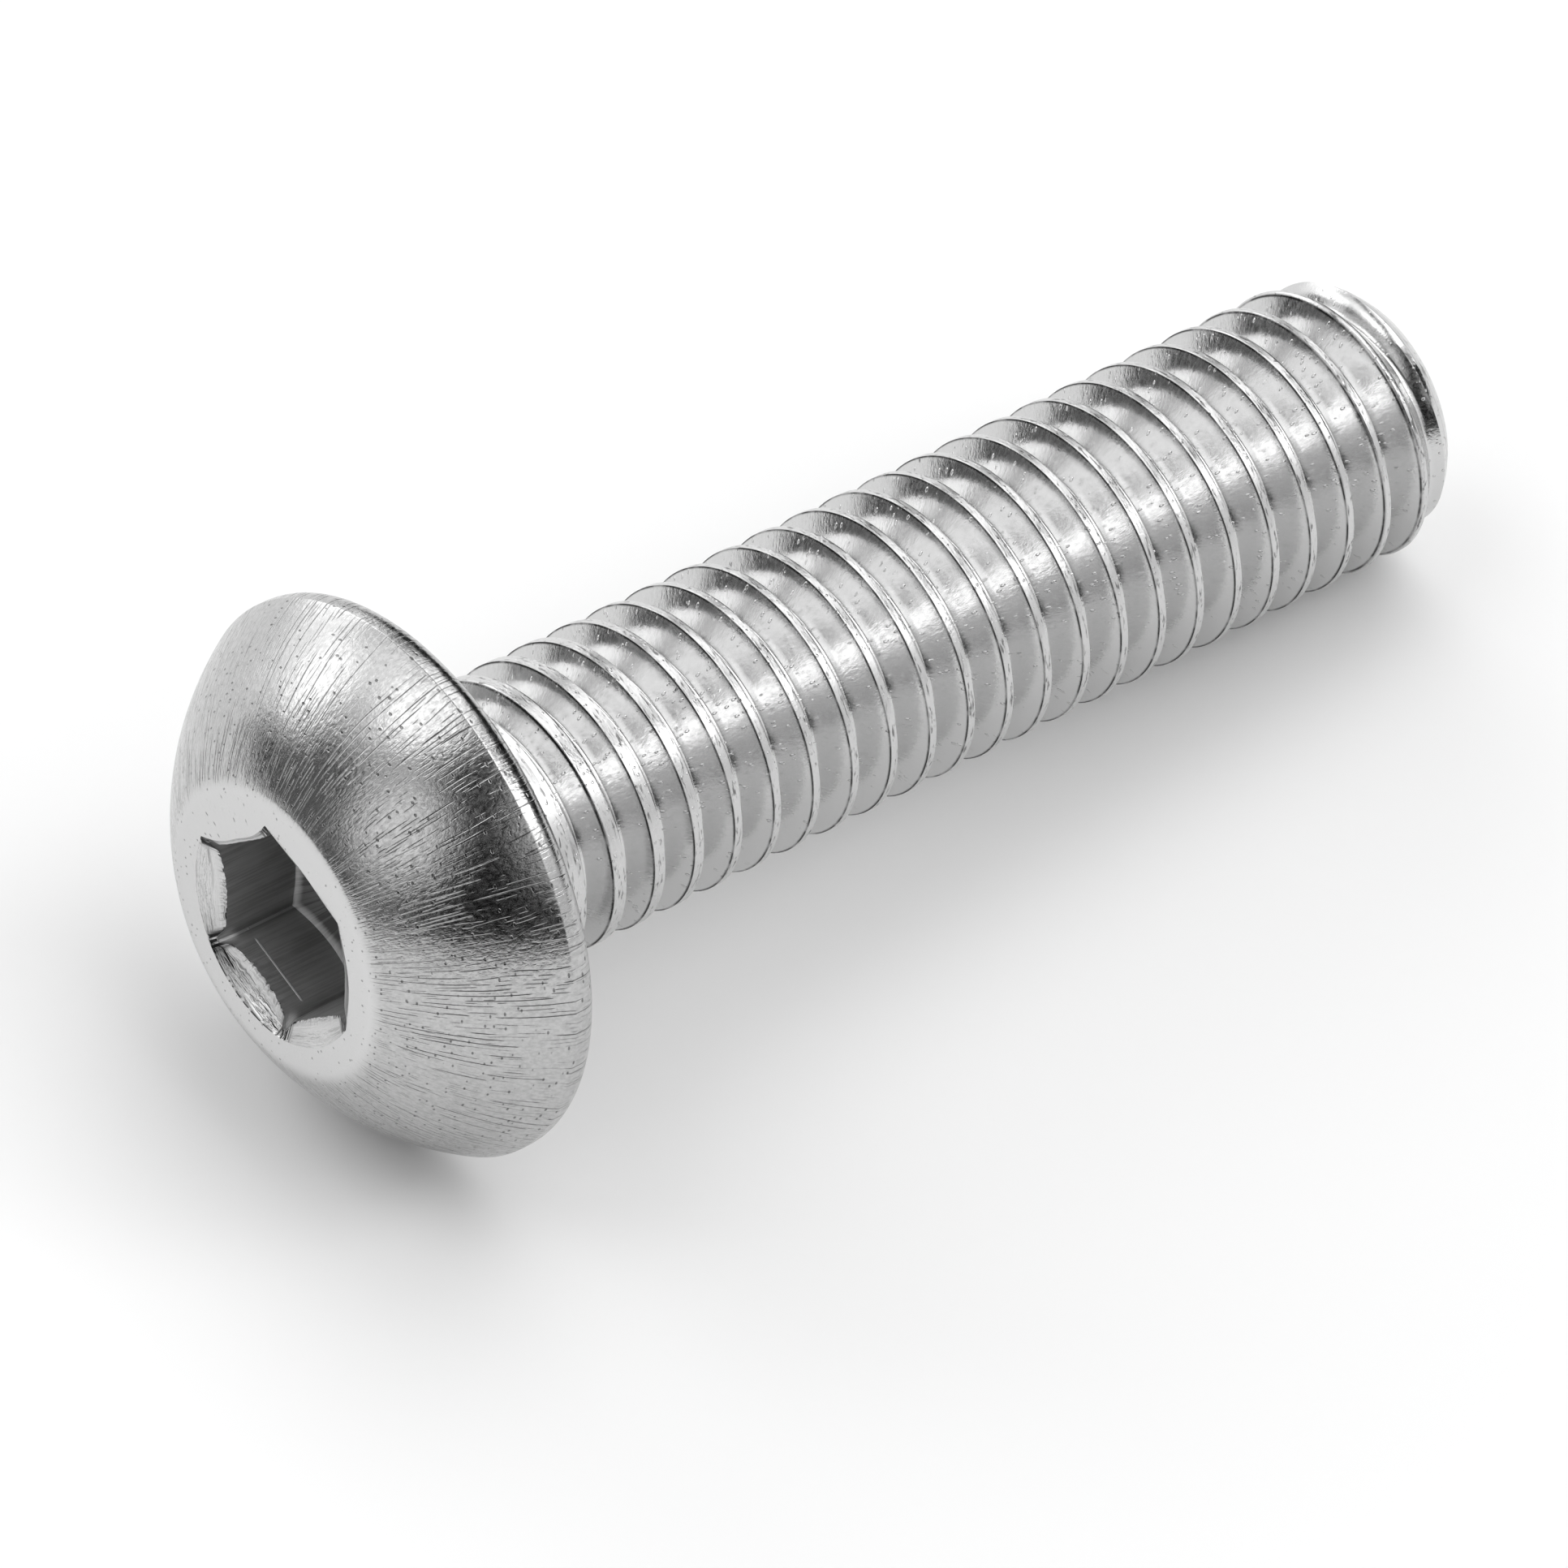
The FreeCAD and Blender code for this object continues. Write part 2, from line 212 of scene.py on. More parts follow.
def fillet(before, corner, after, radius, steps):
    """Points of the arc of that radius that rounds a corner between two straight or nearly straight sides."""
    first = (before - corner) / np.linalg.norm(before - corner)
    last = (after - corner) / np.linalg.norm(after - corner)
    half = math.acos(float(np.clip(first @ last, -1, 1))) / 2
    reach = radius / math.tan(half)
    middle = (first + last) / np.linalg.norm(first + last)
    centre = corner + middle * radius / math.sin(half)
    start = corner + first * reach - centre
    end = corner + last * reach - centre
    turn = math.acos(float(np.clip(start @ end / radius ** 2, -1, 1)))
    sweep = np.linspace(0, 1, steps)[:, None]
    return centre + (np.sin((1 - sweep) * turn) * start + np.sin(sweep * turn) * end) / math.sin(turn)


def dome_arc(sizes, land_edge, dome_foot):
    """Section of the dome between those two points."""
    chord = dome_foot - land_edge
    length = np.linalg.norm(chord)
    inward = np.array([-chord[1], chord[0]]) / length
    centre = (land_edge + dome_foot) / 2 + inward * math.sqrt(sizes.dome_radius ** 2 - length ** 2 / 4)
    start, end = (math.atan2(*(place - centre)[::-1]) for place in (land_edge, dome_foot))
    turn = np.linspace(start, end, 60)
    return centre + sizes.dome_radius * np.stack([np.cos(turn), np.sin(turn)], -1)


def head_section(sizes):
    """Half section of the head from the socket's mouth over the dome to the neck, as radius and height."""
    mouth = sizes.mouth_diameter / 2
    land = sizes.land_diameter / 2
    head = sizes.head_diameter / 2
    shank = sizes.thread_diameter / 2 - sizes.neck_drop
    top = -sizes.head_height
    foot = -sizes.rim_height
    land_edge = np.array([land, top])
    dome_foot = np.array([head, foot])
    dome = dome_arc(sizes, land_edge, dome_foot)
    # each rounding takes the dome as straight as far as its ninth or its fourth last point
    land_arc = fillet(np.array([mouth, top]), land_edge, dome[8], sizes.land_round, 9)
    rim_arc = fillet(dome[-4], dome_foot, np.array([head, 0.0]), sizes.rim_edge, 6)
    under = fillet(np.array([head, foot]), np.array([head, 0.0]), np.array([0.0, 0.0]), sizes.rim_round, 10)
    neck = fillet(np.array([head, 0.0]), np.array([shank, 0.0]), np.array([shank, 1.0]), sizes.neck_round, 6)
    kept = dome[(dome[:, 0] > land_arc[-1][0] + 0.03 * MM) & (dome[:, 1] < rim_arc[0][1] - 0.02 * MM)]
    flat = np.stack([np.linspace(mouth, land_arc[0][0], LAND_ROWS + 1)[:-1], np.full(LAND_ROWS, top)], -1)
    bearing = np.stack([np.linspace(under[-1][0], neck[0][0], 8)[1:-1], np.zeros(6)], -1)
    return np.concatenate([flat, land_arc, kept[::2], rim_arc, under, bearing, neck])


def hexagon(sizes, angle):
    """The socket's side at each angle, the place across it from minus one to one, and the wall's radius."""
    side = np.floor((angle - sizes.socket_turn) / SIXTH + 1e-6).astype(int) % 6
    turned = (angle - sizes.socket_turn) % SIXTH - SIXTH / 2
    return side, turned / (SIXTH / 2), sizes.socket_width / 2 / np.cos(turned)


def by_side(name, side):
    """The numbers of that name for these sides."""
    return np.array(SIDES[name])[side]


def mouth_line(sizes, angle):
    """Radius of the socket's mouth: the punch sat off centre, so the bevel is thin over one side."""
    side, across, _ = hexagon(sizes, angle)
    return sizes.mouth_diameter / 2 - by_side("thinner", side) * MM * (1 - np.abs(across) ** 3)


def add_head(surface, sizes, angle):
    """The pressed land, the dome, the rim and the bearing face."""
    section = head_section(sizes)
    steps = np.linalg.norm(np.diff(section, axis=0), axis=1)
    along = np.concatenate([[0.0], np.cumsum(steps)])
    columns = len(angle)
    radius = spread(section[:, 0], columns)
    share = np.linspace(0, 1, LAND_ROWS + 1)[:-1, None]
    radius[:LAND_ROWS] = mouth_line(sizes, angle) * (1 - share) + section[LAND_ROWS, 0] * share
    surface.grid(radius, np.broadcast_to(angle, radius.shape), spread(section[:, 1], columns),
                 spread(along, columns), (0.0, 0.0, 0.0), HEADED)


def ragged(angle, waves):
    """A small uneven edge round the screw, between about minus one and one."""
    return sum(np.sin(count * angle + shift) for count, shift in waves) / math.sqrt(len(waves))


def ease(low, high, value):
    """A smooth step from 0 at low to 1 at high."""
    share = np.clip((value - low) / (high - low), 0, 1)
    return share * share * (3 - 2 * share)


class SocketLines:
    """The socket's lines round the screw: its mouth, its torn lip, its walls and the edge of its floor."""

    def __init__(self, sizes, angle):
        self.angle = angle
        self.side, self.across, self.wall = hexagon(sizes, angle)
        self.bend = np.abs(self.across)
        self.top = -sizes.head_height
        self.mouth = mouth_line(sizes, angle)
        self.slope = math.tan(CONE)
        # waves to a full turn, and where each starts
        waves = ((61, 0.4), (83, 2.1), (107, 4.0), (37, 1.0))
        torn = by_side("torn", self.side) * (1 - ease(0.7, 0.85, self.bend))
        self.edge = ragged(angle, waves) * 0.012 * MM * torn
        # at each corner the wall runs up to within 0.12 mm of the mouth
        self.nick = (self.mouth - 0.12 * MM - self.wall) * ease(0.84, 0.97, self.bend)
        self.lip_radius = self.wall + self.nick + self.edge
        self.lip = self.top + (self.mouth - self.lip_radius) * self.slope * by_side("sunk", self.side)
        corner = sizes.socket_width / 2 / math.cos(SIXTH / 2)
        self.floor = self.top + sizes.socket_depth + (corner - self.wall) * self.slope

    def add(self, surface, radius, height, relief, slot):
        """Add rows of points given from the mouth inwards; gives their numbers from the inside outwards."""
        turns = np.broadcast_to(self.angle, radius.shape)
        return surface.grid(radius[::-1], turns, height[::-1], height[::-1] - self.top, relief, slot)


def add_bevel(surface, lines):
    """The bevel round the mouth, and the triangles that join it to the land, which has half its points."""
    share = np.linspace(0, 1, 9)[:, None]
    # the folded side falls steeply from the land, and lies nearly flat from there on
    folded = np.interp(share, [0.0, 0.375, 1.0], [0.0, 0.72, 1.0])
    radius = lines.mouth + (lines.lip_radius - lines.mouth) * share
    height = lines.top + (lines.lip - lines.top) * np.where(lines.side == FOLDED, folded, share)
    relief = (lines.bend, share[::-1], by_side("scored", lines.side))
    outer = lines.add(surface, radius, height, relief, TORN)[-1]
    surface.add_faces(np.stack([outer[1::2], np.roll(outer, -1)[1::2], outer[::2]], -1), TORN)


def add_walls(surface, lines):
    """The six walls, down from the lip: its notches and rags fade out a little below it."""
    share = np.concatenate([[0, 0.02, 0.05, 0.1, 0.16], np.linspace(0.24, 1, 9)])[:, None]
    height = lines.lip + (lines.floor - lines.lip) * share
    radius = lines.wall + lines.nick * (1 - ease(0.0, 0.2, share)) + lines.edge * (1 - ease(0.0, 0.1, share))
    has_line = np.where(lines.side == FOLDED, 1.0, 0.0)
    lines.add(surface, radius, height, (1.0, lines.across, has_line), PUNCHED)


def add_cone(surface, lines):
    """The conical floor, which leaves each wall a curved lower edge."""
    share = np.linspace(0, 0.98, 10)[:, None]
    radius = lines.wall * (1 - share)
    height = lines.floor + (lines.wall - radius) * lines.slope
    lines.add(surface, radius, height, (1 + share[::-1], lines.across, 0.0), PUNCHED)


def add_socket(surface, sizes, ring):
    """The whole socket, with two points to each step of the head's ring."""
    columns = 2 * len(ring)
    lines = SocketLines(sizes, ring[0] + math.pi / len(ring) * np.arange(columns))
    for add in (add_bevel, add_walls, add_cone):
        add(surface, lines)


def crest_width(height, sizes):
    """Flat on the crest at that height: next to the head the dies fill the thread least."""
    crests = np.array([1.7, 2.5, 3.3, 4.1, 5.0]) * MM
    widths = [sizes.first_crest, 0.19 * MM, 0.16 * MM, 0.13 * MM, sizes.crest_width]
    return np.interp(height, crests, widths)


def groove_depth(off_centre, half, sizes):
    """Depth of the rolled groove below the crest, at a distance from the groove's middle."""
    slope = math.tan(FLANK)
    root = sizes.root_radius
    tangent = root * math.cos(FLANK)
    along = np.clip((half - np.abs(off_centre)) / (half - tangent), 0, 1)
    straight = (half - np.abs(off_centre)) / slope - 8 * sizes.flank_swell * along * (1 - along)
    bottom = half / slope - 2 * root + np.sqrt(np.clip(root ** 2 - off_centre ** 2, 0, None))
    depth = np.where(np.abs(off_centre) < tangent, bottom, straight)
    # the crest's edges are rounded, so that the depth never has a corner
    soft = 0.01 * MM
    return (depth + np.sqrt(depth ** 2 + 4 * soft ** 2)) / 2


def groove_places(sizes, centre):
    """Where the points lie across one groove, seen from its centre, with the groove's own middle and half width."""
    pitch = sizes.thread_pitch
    tangent = sizes.root_radius * math.cos(FLANK)
    before = crest_width(centre - pitch / 2, sizes) / 2
    after = crest_width(centre + pitch / 2, sizes) / 2
    mid = (before - after) / 2
    half = (pitch - before - after) / 2
    left = np.concatenate([-pitch / 2 + ON_CREST * before,
                           mid - half + ON_FLANK * (half - tangent),
                           mid - IN_ROOT * tangent], axis=1)
    right = np.concatenate([pitch / 2 - ON_CREST * after,
                            mid + half - ON_FLANK * (half - tangent),
                            mid + IN_ROOT * tangent], axis=1)
    return np.concatenate([left, mid, right[:, ::-1]], axis=1), mid, half


def crest_seam(sizes, place, height):
    """Depth of the seam along the crests that the dies left unfilled."""
    width = crest_width(height, sizes)
    on_top = np.clip(1 - (sizes.thread_pitch / 2 - np.abs(place)) / (width / 2), 0, 1)
    deepest = 0.02 * MM * np.clip((width - 0.1 * MM) / (0.1 * MM), 0, 1)
    return deepest * ease(0.0, 1.0, on_top * 1.6)


def groove_left(sizes, height):
    """How much of the groove is left at that height: next to the end the last turn is worn down to half."""
    point = sizes.shank_length - sizes.point_length
    return 1 - 0.5 * ease(point - 0.25 * MM, point + 0.4 * MM, height)


def shank_radius(sizes, height, depth):
    """Radius over a groove of that depth: crests lower next to the head and the point, and the rounded taper."""
    point = sizes.shank_length - sizes.point_length
    full = sizes.thread_diameter / 2
    crest = (full - sizes.neck_drop * (1 - ease(0.3 * MM, 3.0 * MM, height))
             - sizes.end_drop * ease(point - 2.4 * MM, point, height))
    share = np.clip((height - point) / sizes.point_length, 0, 1)
    drop = (sizes.thread_diameter - sizes.point_diameter) / 2
    outer = full - sizes.end_drop - (drop - sizes.end_drop) * share ** 1.8
    cut = crest - depth
    return np.where(outer < cut, outer, cut + (outer - cut) * (1 - groove_left(sizes, height)))


def add_thread(surface, sizes, angle):
    """The shank: points follow the thread's helix, so that each crest is one clean line."""
    pitch = sizes.thread_pitch
    columns = len(angle)
    low, high = sizes.neck_round, sizes.shank_length
    start_turn = math.floor((low - sizes.groove_place) / pitch) - 1
    turns = math.ceil((high - low) / pitch) + 3
    steps = 2 * math.pi / columns * np.arange(columns * turns + 1)
    spiral = (angle[0] + steps + 2 * math.pi * start_turn)[:, None]
    centre = sizes.groove_place + pitch * spiral / (2 * math.pi)
    place, mid, half = groove_places(sizes, centre)
    height = centre + place
    # towards the head the groove rises out of the metal, by 0.69 mm in three quarters of a turn
    fade = np.clip(-spiral / (2 * math.pi * 0.75), 0, 1) * 0.69 * MM
    depth = groove_depth(place - mid, half, sizes) + crest_seam(sizes, place, height)
    depth = np.clip(depth - fade, 0, None)
    radius = shank_radius(sizes, height, depth)
    full = ease(0.0, 0.3, depth.max(axis=1, keepdims=True) / FULL_GROOVE) * groove_left(sizes, height)
    height = np.clip(height, low, high)
    radius = np.where(height <= low, sizes.thread_diameter / 2 - sizes.neck_drop, radius)
    radius = np.where(height >= high, sizes.point_diameter / 2, radius)
    relief = (depth / FULL_GROOVE, np.sin(2 * math.pi * place / pitch), full)
    numbers = surface.add_points(radius, spiral, height, height, relief)
    # Quads past either end of the shank are flat, and stay out. The rows run round the screw, where those of
    # the other bands run along it, so the quads are turned over.
    tall = np.ptp(four_corners(height), axis=1) > 1e-9
    surface.add_faces(four_corners(numbers)[tall][:, [0, 3, 2, 1]], ROLLED)


def add_end(surface, sizes, angle):
    """The flat end of the point, dished a little."""
    share = spread([1.0, 0.93, 0.6, 0.02], len(angle))
    dish = spread([0.0, 0.0, 0.03, 0.04], len(angle)) * MM
    radius = share * sizes.point_diameter / 2
    surface.grid(radius, np.broadcast_to(angle, radius.shape), sizes.shank_length - dish, radius,
                 (0.5, 0.0, 0.0), ROLLED)


def settle(shape):
    """Lower or raise the shank a hair about the rim's lowest point, until the thread touches the ground."""
    rim = min((vert.co for vert in shape.verts if vert.co.x < 0), key=lambda place: place.z).copy()
    lift = max(math.atan2(rim.z - vert.co.z, vert.co.x - rim.x) for vert in shape.verts if vert.co.x > 0)
    about = Matrix.Translation(rim) @ Matrix.Rotation(-lift, 4, "Y") @ Matrix.Translation(-rim)
    shape.transform(about)


def build_mesh(sizes):
    """The whole screw as one closed mesh in the row's frame."""
    surface = Surface()
    angle = sizes.socket_turn + 2 * math.pi / sizes.segments * np.arange(sizes.segments)
    for add in (add_socket, add_head, add_thread, add_end):
        add(surface, sizes, angle)
    mesh = bpy.data.meshes.new("button_head_screw_visual")
    mesh.from_pydata(np.concatenate(surface.points).tolist(), [], surface.faces)
    mesh.polygons.foreach_set("material_index", surface.slots)
    for name, store in (("around", surface.around), ("relief", surface.relief)):
        vectors = mesh.attributes.new(name, "FLOAT_VECTOR", "POINT")
        vectors.data.foreach_set("vector", np.concatenate(store).astype(np.float32).ravel())
    shape = bmesh.new()
    shape.from_mesh(mesh)
    bmesh.ops.remove_doubles(shape, verts=shape.verts, dist=2e-7)
    bmesh.ops.dissolve_degenerate(shape, edges=shape.edges, dist=1e-7)
    open_edges = [edge for edge in shape.edges if edge.is_boundary]
    if open_edges:
        bmesh.ops.holes_fill(shape, edges=open_edges, sides=0)
    bmesh.ops.recalc_face_normals(shape, faces=shape.faces)
    shape.transform(screw_matrix(sizes))
    settle(shape)
    shape.to_mesh(mesh)
    shape.free()
    mesh.shade_smooth()
    mesh.set_sharp_from_angle(angle=SHARP)
    return mesh


# ---- the steel ----

def node(tree, kind, links=None, **settings):
    """Add a node, give it its settings and links, and return it."""
    made = tree.nodes.new(kind)
    for name, value in settings.items():
        if name == "inputs":
            for socket, number in value.items():
                made.inputs[socket].default_value = number
        else:
            setattr(made, name, value)
    for socket, source in (links or {}).items():
        tree.links.new(source, made.inputs[socket])
    return made


def new_material(name):
    """An empty material with its output, and the tree to fill."""
    material = bpy.data.materials.new(name)
    material.use_nodes = True
    tree = material.node_tree
    tree.nodes.clear()
    output = tree.nodes.new("ShaderNodeOutputMaterial")
    return material, tree, output


def math_node(tree, operation, first, second=None, clamp=False):
    """One sum with sockets or numbers."""
    made = node(tree, "ShaderNodeMath", operation=operation, use_clamp=clamp)
    for socket, value in ((0, first), (1, second)):
        if isinstance(value, (int, float)):
            made.inputs[socket].default_value = value
        elif value is not None:
            tree.links.new(value, made.inputs[socket])
    return made.outputs[0]


def times(tree, first, second, clamp=False):
    """A product of sockets or numbers."""
    return math_node(tree, "MULTIPLY", first, second, clamp)


def most(tree, first, second):
    """The larger of two sockets."""
    return math_node(tree, "MAXIMUM", first, second)


def ramp(tree, value, low, high, start=0.0, end=1.0):
    """A smooth step of a value from start at low to end at high."""
    made = node(tree, "ShaderNodeMapRange", links={0: value}, interpolation_type="SMOOTHSTEP")
    for socket, number in ((1, low), (2, high), (3, start), (4, end)):
        made.inputs[socket].default_value = number
    return made.outputs[0]


def attribute(tree, name):
    """The three parts of one of the mesh's own vectors."""
    source = node(tree, "ShaderNodeAttribute", attribute_name=name)
    parts = node(tree, "ShaderNodeSeparateXYZ", links={0: source.outputs["Vector"]})
    return source.outputs["Vector"], parts.outputs[0], parts.outputs[1], parts.outputs[2]


def lay(tree, vector, radius, across, along):
    """Directions round and along the screw, divided by a mark's size across and along, all in millimetres."""
    made = node(tree, "ShaderNodeVectorMath", links={0: vector}, operation="MULTIPLY",
                inputs={1: (radius / across, radius / across, 1 / along)})
    return made.outputs[0]


def noise(tree, vector, detail=2.0, rough=0.5, bend=0.0):
    """Noise with one hill to each unit of the vector."""
    made = node(tree, "ShaderNodeTexNoise", links={"Vector": vector},
                inputs={"Scale": 1.0, "Detail": detail, "Roughness": rough, "Distortion": bend})
    return made.outputs[0]


def lines(tree, value, level, width):
    """Thin lines where the noise crosses a level."""
    away = math_node(tree, "ABSOLUTE", math_node(tree, "SUBTRACT", value, level))
    return ramp(tree, away, 0.0, width, 1.0, 0.0)


def spots(tree, vector, share):
    """Round spots, one at most in each unit cell, of a radius that is that share of the cell."""
    made = node(tree, "ShaderNodeTexVoronoi", links={"Vector": vector}, inputs={"Scale": 1.0, "Randomness": 1.0})
    return ramp(tree, made.outputs["Distance"], share * 0.5, share, 1.0, 0.0)


def bumps(tree, strength, layers):
    """Bump nodes in a row; each layer is a height and what one unit of it measures in millimetres."""
    normal = None
    for height, depth in layers:
        made = node(tree, "ShaderNodeBump", links={"Height": height},
                    inputs={"Strength": min(strength, 1.0), "Distance": depth * MM * max(strength, 1.0)})
        if normal:
            tree.links.new(normal, made.inputs["Normal"])
        normal = made.outputs[0]
    return normal


def steel(tree, output, clean, dark_colour, marks, rough, normal):
    """Bare metal: the marks darken it, and so do the painted shade and painted reflection that some steels mix into
    them; roughness and relief come as sockets.
    """
    colour = node(tree, "ShaderNodeMix", data_type="RGBA", links={0: marks})
    colour.inputs[6].default_value = linear(clean)
    colour.inputs[7].default_value = linear(dark_colour)
    shader = node(tree, "ShaderNodeBsdfPrincipled", inputs={"Metallic": 1.0},
                  links={"Base Color": colour.outputs[2], "Normal": normal})
    if isinstance(rough, (int, float)):
        shader.inputs["Roughness"].default_value = rough
    else:
        tree.links.new(rough, shader.inputs["Roughness"])
    tree.links.new(shader.outputs[0], output.inputs[0])


def radial_cracks(tree, vector, count, width, wander, gaps, broken):
    """Thin lines that run along the section, count of them to half a turn. A slow noise spaces them unevenly,
    and another breaks them; wander and gaps say in millimetres how far each reaches round and along the head."""
    slow = lay(tree, vector, ON_DOME, *wander)
    parts = node(tree, "ShaderNodeSeparateXYZ", links={0: vector})
    turn = math_node(tree, "ARCTAN2", parts.outputs[1], parts.outputs[0])
    drift = times(tree, noise(tree, slow, 1.0), 14.0)
    wave = math_node(tree, "SINE", math_node(tree, "ADD", times(tree, turn, float(count)), drift))
    thin = ramp(tree, math_node(tree, "ABSOLUTE", wave), 0.0, width, 1.0, 0.0)
    return times(tree, thin, ramp(tree, noise(tree, lay(tree, vector, ON_DOME, *gaps), 2.0), *broken))


def headed_steel(finish):
    """Stainless steel, cold headed in a polished die. The metal flows outwards, so fine cracks run from the
    land to the rim: they show dark where the head is light and light where it is dark. The land, pressed
    flat against the punch, has tiny pits instead."""
    material, tree, output = new_material("cold_headed_stainless_steel")
    vector, _, _, along = attribute(tree, "around")
    dome = ramp(tree, along, 0.4, 0.75)
    # long cracks: 0.015 mm wide, drawn at 0.02 mm so that they still show, 0.1 mm apart and 2 mm long
    long_cracks = radial_cracks(tree, vector, 105, 0.4, (0.9, 4.0), (0.12, 1.3), (0.5, 0.56))
    # short cracks: as wide, 0.06 mm apart and 0.5 mm long
    short_cracks = radial_cracks(tree, vector, 190, 0.6, (0.6, 2.0), (0.08, 0.45), (0.5, 0.6))
    cracks = times(tree, most(tree, long_cracks, times(tree, short_cracks, 0.6)), dome)
    # the grain is 0.04 mm across, drawn at 0.05 mm so that it still shows
    grain = noise(tree, lay(tree, vector, ON_DOME, 0.05, 0.09), 2.0, 0.6)
    # tiny pits, 0.03 mm across and about 0.13 mm apart
    pits = spots(tree, lay(tree, vector, ON_LAND, 0.13, 0.13), 0.2)
    swell = noise(tree, lay(tree, vector, ON_DOME, 1.0, 1.0), 1.0)
    worn = times(tree, dome, ramp(tree, grain, 0.3, 0.7, 0.18, 0.36))
    marks = math_node(tree, "ADD", times(tree, cracks, 0.6), times(tree, pits, 0.6))
    marks = math_node(tree, "ADD", marks, worn, clamp=True)
    marks = times(tree, marks, finish.marks, clamp=True)
    rough = ramp(tree, grain, 0.2, 0.8, 0.15, 0.28)
    grain_depth = times(tree, grain, ramp(tree, dome, 0.0, 1.0, 0.4, 1.0))
    deep = math_node(tree, "SUBTRACT", 0.0, math_node(tree, "ADD", cracks, times(tree, pits, 0.6)))
    normal = bumps(tree, finish.marks, ((swell, 0.003), (grain_depth, 0.005), (deep, 0.0045)))
    steel(tree, output, finish.steel, finish.mark_and_shade_colour, marks, rough, normal)
    return material


def bevel_steel(finish):
    """Steel torn by the punch that pressed the socket's mouth: curved dark scores run along each side, most on
    the one that the punch rubbed, and little tears cross its inner edge."""
    material, tree, output = new_material("punch_torn_stainless_steel")
    vector, _, _, _ = attribute(tree, "around")
    _, corner, share, scored = attribute(tree, "relief")
    # the scores are 0.02 mm wide, drawn at 0.03 mm so that they still show, on a bevel about 0.5 mm wide
    rows = node(tree, "ShaderNodeCombineXYZ", links={2: times(tree, share, 8.0)})
    curved = node(tree, "ShaderNodeVectorMath", operation="ADD",
                  links={0: lay(tree, vector, ON_BEVEL, 0.9, 50.0), 1: rows.outputs[0]}).outputs[0]
    scores = noise(tree, curved, 3.0, 0.65, 0.5)
    outside = ramp(tree, share, 0.4, 0.7, 1.0, 0.15)
    fine = noise(tree, curved, 5.0, 0.8, 0.5)
    dark = most(tree, lines(tree, fine, 0.52, 0.03), ramp(tree, scores, 0.38, 0.44, 1.0, 0.0))
    dark = times(tree, dark, outside)
    rim = times(tree, ramp(tree, share, 0.0, 0.07, 1.0, 0.0), ramp(tree, scored, 0.6, 0.9))
    # the tears are 0.035 mm wide and up to 0.3 mm long
    tears = noise(tree, lay(tree, vector, ON_WALL, 0.035, 0.3), 2.0, 0.6)
    crossing = times(tree, ramp(tree, tears, 0.6, 0.68), ramp(tree, share, 0.7, 0.95))
    marks = times(tree, most(tree, dark, crossing), ramp(tree, scored, 0.0, 0.8, 0.3, 1.0))
    # painted shade: the bevel darkens towards the hexagon's corners, broken up by the tear noise
    ragged_corner_shade = times(tree, ramp(tree, corner, 0.76, 0.9), ramp(tree, tears, 0.35, 0.5))
    marks = most(tree, most(tree, marks, rim), ragged_corner_shade)
    marks = times(tree, marks, finish.marks, clamp=True)
    uneven = times(tree, tears, ramp(tree, share, 0.5, 0.9))
    normal = bumps(tree, finish.marks, ((scores, 0.012), (uneven, 0.016)))
    steel(tree, output, finish.steel, DEEP_MARKS_AND_PAINTED_DARK, marks, 0.3, normal)
    return material


def socket_steel(finish):
    """Steel punched deep: the walls carry fine grooves along the punch's stroke and are dull, so they are dark
    with a few lighter streaks. The floor is darkened as painted shade, all but its edge, and painted shade darkens the
    walls towards the hexagon's corners. One wall has a raised line where the punch paused, its colour painted lighter
    as a painted highlight."""
    material, tree, output = new_material("punched_stainless_steel")
    vector, _, _, below = attribute(tree, "around")
    _, inside, across, has_line = attribute(tree, "relief")
    # grooves 0.03 mm wide, drawn at 0.04 mm so that they still show, as long as the wall is deep
    grooves = noise(tree, lay(tree, vector, ON_WALL, 0.04, 2.5), 2.0, 0.7)
    streaks = noise(tree, lay(tree, vector, ON_WALL, 0.35, 1.0), 2.0, 0.5)
    marks = math_node(tree, "SUBTRACT", ramp(tree, streaks, 0.4, 0.65, 0.2, 0.0),
                      ramp(tree, grooves, 0.4, 0.65, -0.1, 0.15), clamp=True)
    # painted shade: the socket's floor is darkened towards the mark colour, all but a thin ring at the foot of the
    # walls
    marks = math_node(tree, "ADD", marks, ramp(tree, inside, 1.02, 1.1, 0.0, 0.85), clamp=True)
    edge = math_node(tree, "ABSOLUTE", across)
    # painted shade: the walls darken towards the hexagon's corners, fading out where the floor begins
    corner = times(tree, ramp(tree, edge, 0.8, 1.0), ramp(tree, inside, 1.0, 1.03, 0.5, 0.0))
    marks = math_node(tree, "ADD", marks, corner, clamp=True)
    # the bright line is 0.6 mm below the land and 0.02 mm wide: a raised ridge whose colour is painted lighter, a
    # painted highlight
    line = math_node(tree, "ABSOLUTE", math_node(tree, "SUBTRACT", below, 0.605))
    line = times(tree, ramp(tree, line, 0.01, 0.025, 1.0, 0.0), has_line)
    line = times(tree, line, ramp(tree, edge, 0.68, 0.8, 1.0, 0.0))
    marks = math_node(tree, "SUBTRACT", marks, line, clamp=True)
    normal = bumps(tree, finish.marks, ((grooves, 0.006), (streaks, 0.004), (line, 0.01)))
    rough = ramp(tree, line, 0.0, 1.0, 0.5, 0.9)
    steel(tree, output, finish.steel, finish.mark_and_shade_colour, marks, rough, normal)
    return material


